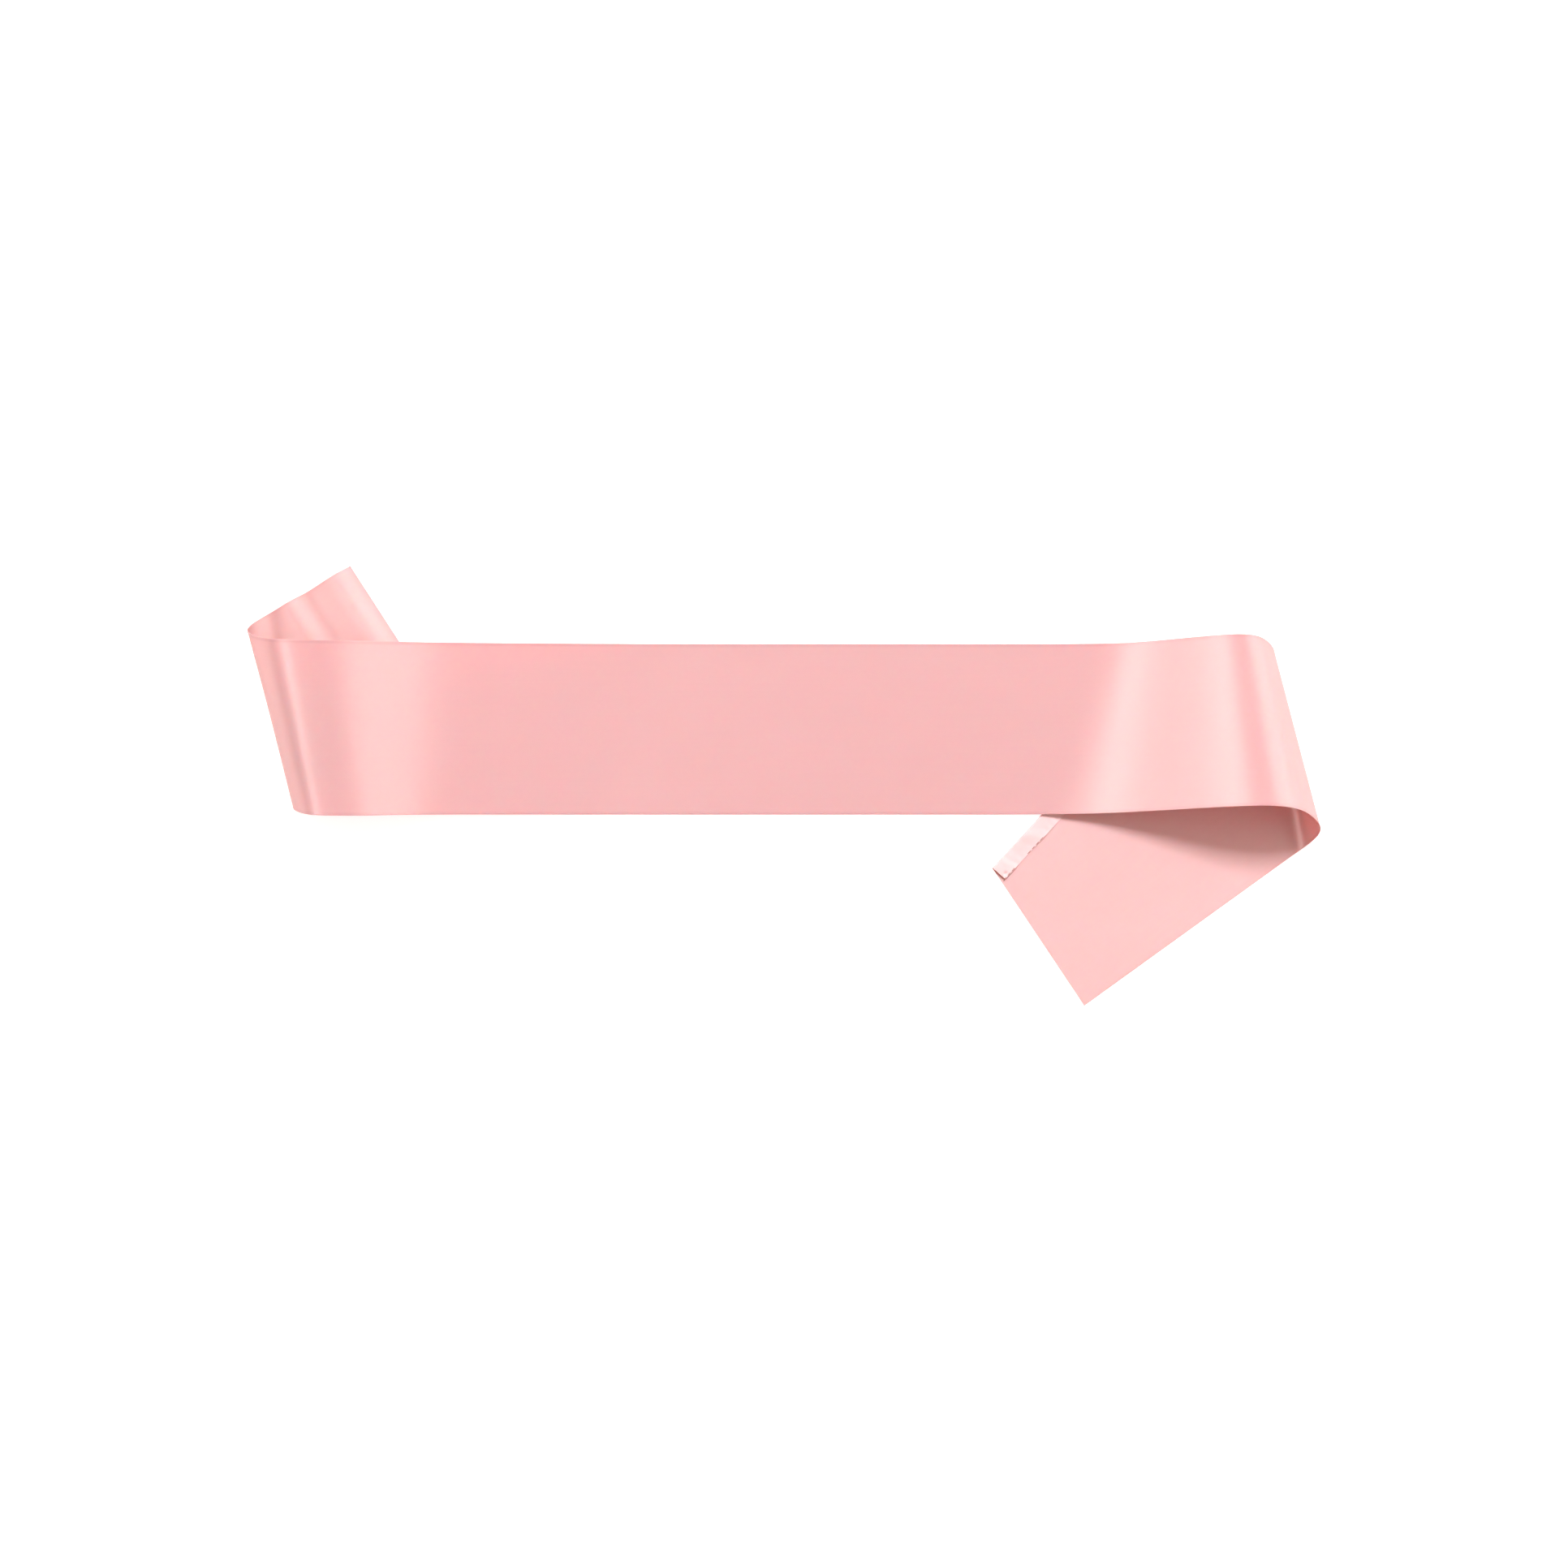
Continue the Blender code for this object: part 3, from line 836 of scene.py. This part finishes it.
# %% Stitches along the hem
STITCH_PITCH = 0.0034
STITCH_LENGTH = 0.0030
THREAD_DIAMETER = 0.00050
STITCH_INSET = 0.0098            # from the fold
STITCH_DEPTH = (                 # the thread shows in two runs, and is pulled in elsewhere
    dict(at=0.0024, sunk=0.00005),
    dict(at=0.0094, sunk=0.00005),
    dict(at=0.0110, sunk=0.00030),
    dict(at=0.0190, sunk=0.00030),
    dict(at=0.0205, sunk=0.00005),
    dict(at=0.0330, sunk=0.00005),
    dict(at=0.0350, sunk=0.00030),
    dict(at=0.0700, sunk=0.00030),
)


def stitches_along(name, line, tree, sizes):
    """Run the stitch tree on a line of places and keep its result as a plain mesh."""
    path = bpy.data.meshes.new(name)
    path.from_pydata(line.tolist(), [(k, k + 1) for k in range(len(line) - 1)], [])
    piece = bpy.data.objects.new(name, path)
    bpy.context.scene.collection.objects.link(piece)
    modifier = piece.modifiers.new("stitches", "NODES")
    modifier.node_group = tree
    for socket in tree.interface.items_tree:
        if socket.name in sizes:
            modifier[socket.identifier] = sizes[socket.name]
    made = bpy.data.meshes.new_from_object(
        piece.evaluated_get(bpy.context.evaluated_depsgraph_get()))
    piece.modifiers.remove(modifier)
    piece.data = made
    return piece


stitch_column = int(np.argmin(np.abs(section[0, :HEM_LEAF_POINTS, 0] - STITCH_INSET)))
stitch_line = hem_places[:, stitch_column] + np.array([0.0, 0.0, HEM_WALL / 2])
stitch_line[:, 2] -= follow(STITCH_DEPTH, "sunk", reaches[:, stitch_column])
hem_stitches = stitches_along("hem_stitches", stitch_line, stitch_tree, {
    "Pitch": STITCH_PITCH, "Stitch Length": STITCH_LENGTH, "Thread Diameter": THREAD_DIAMETER})
print("stitches have", len(hem_stitches.data.polygons), "faces")

# %% [markdown]
# ## The floor
#
# The sash lies on a plain pale table. In a studio such a table is lit apart from the cloth, until it
# looks pure white. Here its own tone is a quiet warm one, which keeps the rolls' shaded sides pink,
# and it glows: strongly for the camera, which sees it white with faint shadows, and weakly for the
# cloth. A Light Path node tells the two apart.

# %% The floor
FLOOR_HALF_SIZE = 4.0
FLOOR_TONES = ((0.86, 0.61, 0.57), (0.89, 0.64, 0.60))
FLOOR_GLOW_SEEN = 0.78           # what the camera sees
FLOOR_GLOW_GIVEN = 0.20          # what the cloth is lit by


def make_floor():
    """A plain square table top, at height zero."""
    mesh = bpy.data.meshes.new("floor")
    half = FLOOR_HALF_SIZE
    mesh.from_pydata([(-half, -half, 0), (half, -half, 0), (half, half, 0), (-half, half, 0)], [],
                     [(0, 1, 2, 3)])
    material = bpy.data.materials.new("white_table")
    material.use_nodes = True
    tree = material.node_tree
    shader = tree.nodes["Principled BSDF"]
    shader.inputs["Roughness"].default_value = 0.8
    shader.inputs["Specular IOR Level"].default_value = 0.2
    place = add_node(tree, "ShaderNodeTexCoord")
    noise = add_node(tree, "ShaderNodeTexNoise", inputs={"Scale": 3.0, "Detail": 2.0})
    tree.links.new(place.outputs["Object"], noise.inputs["Vector"])
    tones = add_node(tree, "ShaderNodeMix", data_type="RGBA")
    tones.inputs[MIX_COLOR_A].default_value = (*FLOOR_TONES[0], 1.0)
    tones.inputs[MIX_COLOR_B].default_value = (*FLOOR_TONES[1], 1.0)
    tree.links.new(noise.outputs["Fac"], tones.inputs["Factor"])
    tree.links.new(tones.outputs[MIX_RESULT], shader.inputs["Base Color"])
    shader.inputs["Emission Color"].default_value = (1.0, 1.0, 1.0, 1.0)
    ray = add_node(tree, "ShaderNodeLightPath")
    glow = add_node(tree, "ShaderNodeMapRange", inputs={
        "To Min": FLOOR_GLOW_GIVEN, "To Max": FLOOR_GLOW_SEEN})
    tree.links.new(ray.outputs["Is Camera Ray"], glow.inputs["Value"])
    tree.links.new(glow.outputs["Result"], shader.inputs["Emission Strength"])
    mesh.materials.append(material)
    floor = bpy.data.objects.new("floor", mesh)
    bpy.context.scene.collection.objects.link(floor)
    return floor


floor = make_floor()
print("floor, in metres:", 2 * FLOOR_HALF_SIZE)

# %% [markdown]
# ## The lamps
#
# Satin shows its form only through what it reflects. A long narrow softbox on the left draws the
# crisp bright bands where the cloth turns towards it, and a broad one low on the right gives the
# wide soft ones. A smaller lamp behind casts the shadow on the right tail, and is kept out of
# reflections. The softboxes are a little warm and the rear lamp a little cool, so that shade is
# warmer than light. Area lamps fit this, because their size sets how soft each highlight is. They
# are hidden from the camera itself.

# %% The lamps
WARM_WHITE = (1.0, 0.85, 0.79)
COOL_WHITE = (0.90, 0.96, 1.0)
LAMPS = (                        # angle from straight up: about Y to the right, about X to the rear
    dict(name="left_softbox", right=-36.0, rear=18.0, away=2.4, size=(0.72, 3.0), watts=27.0,
         color=WARM_WHITE),
    dict(name="right_softbox", right=55.0, rear=16.0, away=2.6, size=(2.8, 2.5), watts=39.0,
         color=WARM_WHITE),
    dict(name="rear_key", right=3.0, rear=30.0, away=4.0, size=(0.90, 0.90), watts=193.0,
         color=COOL_WHITE, glossy=False),
)


def make_lamp(name, right, rear, away, size, watts, color, glossy=True):
    """A softbox that faces the sash's middle, `away` metres from it."""
    lamp = bpy.data.lights.new(name, "AREA")
    lamp.shape = "RECTANGLE"
    lamp.size, lamp.size_y = size
    lamp.energy = watts
    lamp.color = color
    piece = bpy.data.objects.new(name, lamp)
    bpy.context.scene.collection.objects.link(piece)
    towards = np.array([math.tan(math.radians(right)), math.tan(math.radians(rear)), 1.0])
    towards /= np.linalg.norm(towards)
    piece.location = towards * away
    piece.rotation_euler = (-math.asin(towards[1]), math.atan2(towards[0], towards[2]), 0.0)
    piece.visible_camera = False
    piece.visible_glossy = glossy
    return piece


for lamp in LAMPS:
    make_lamp(**lamp)
print("lamps:", [lamp["name"] for lamp in LAMPS])

# %% [markdown]
# ## The sky
#
# A studio's walls send back a little light from all sides. The world does it here: a warm shade that
# is dim overhead and brighter near the horizon, as walls are. A plain world would be one even tone,
# and the rolls' outer sides would lose their form. The camera sees it as near white past the floor's
# edge.

# %% The sky
SKY_OVERHEAD = 0.12
SKY_AT_HORIZON = 0.30
SKY_FADE = 0.7                   # the sky is even above this share of its height
SKY_COLOR = (1.0, 0.86, 0.75)
SKY_SEEN = (0.93, 0.93, 0.93)


def make_sky():
    """A sky that is brighter near the horizon, as a white studio's walls are."""
    world = bpy.data.worlds.new("white_sky")
    bpy.context.scene.world = world
    world.use_nodes = True
    tree = world.node_tree
    place = add_node(tree, "ShaderNodeTexCoord")
    split = add_node(tree, "ShaderNodeSeparateXYZ")
    fade = add_node(tree, "ShaderNodeMapRange", interpolation_type="SMOOTHSTEP", inputs={
        "From Min": 0.0, "From Max": SKY_FADE, "To Min": SKY_AT_HORIZON, "To Max": SKY_OVERHEAD})
    tree.links.new(place.outputs["Generated"], split.inputs[0])
    tree.links.new(split.outputs["Z"], fade.inputs["Value"])
    tinted = add_node(tree, "ShaderNodeVectorMath", operation="SCALE")
    tinted.inputs[0].default_value = SKY_COLOR
    tree.links.new(fade.outputs["Result"], tinted.inputs["Scale"])
    ray = add_node(tree, "ShaderNodeLightPath")
    seen = add_node(tree, "ShaderNodeMix", data_type="RGBA")
    seen.inputs[MIX_COLOR_B].default_value = (*SKY_SEEN, 1.0)
    tree.links.new(ray.outputs["Is Camera Ray"], seen.inputs["Factor"])
    tree.links.new(tinted.outputs[0], seen.inputs[MIX_COLOR_A])
    background = tree.nodes["Background"]
    background.inputs["Strength"].default_value = 1.0
    tree.links.new(seen.outputs[MIX_RESULT], background.inputs["Color"])


make_sky()
bpy.context.scene.view_settings.view_transform = "Standard"
print("world:", bpy.context.scene.world.name)

# %% [markdown]
# ## What each piece stands for
#
# The finished pieces take the place of the plain solids, which are hidden. The sash is one sheet of
# cloth, so its flat size is stated: the ribbon as cut, before it was rolled.

# %% Pieces and sheet
ribbon_solids = ("front_band", "right_roll", "left_roll", "right_tail", "left_tail")
for piece, solids in ((satin_ribbon, ribbon_solids), (stitched_hem, ("right_tail_hem",)),
                      (hem_mouth_shadow, ()), (hem_stitches, ())):
    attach(piece, "root")
    if solids:
        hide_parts(*solids)
print("flat sheet, in metres:", RIBBON_WIDTH, "by", round(sash_length, 3))
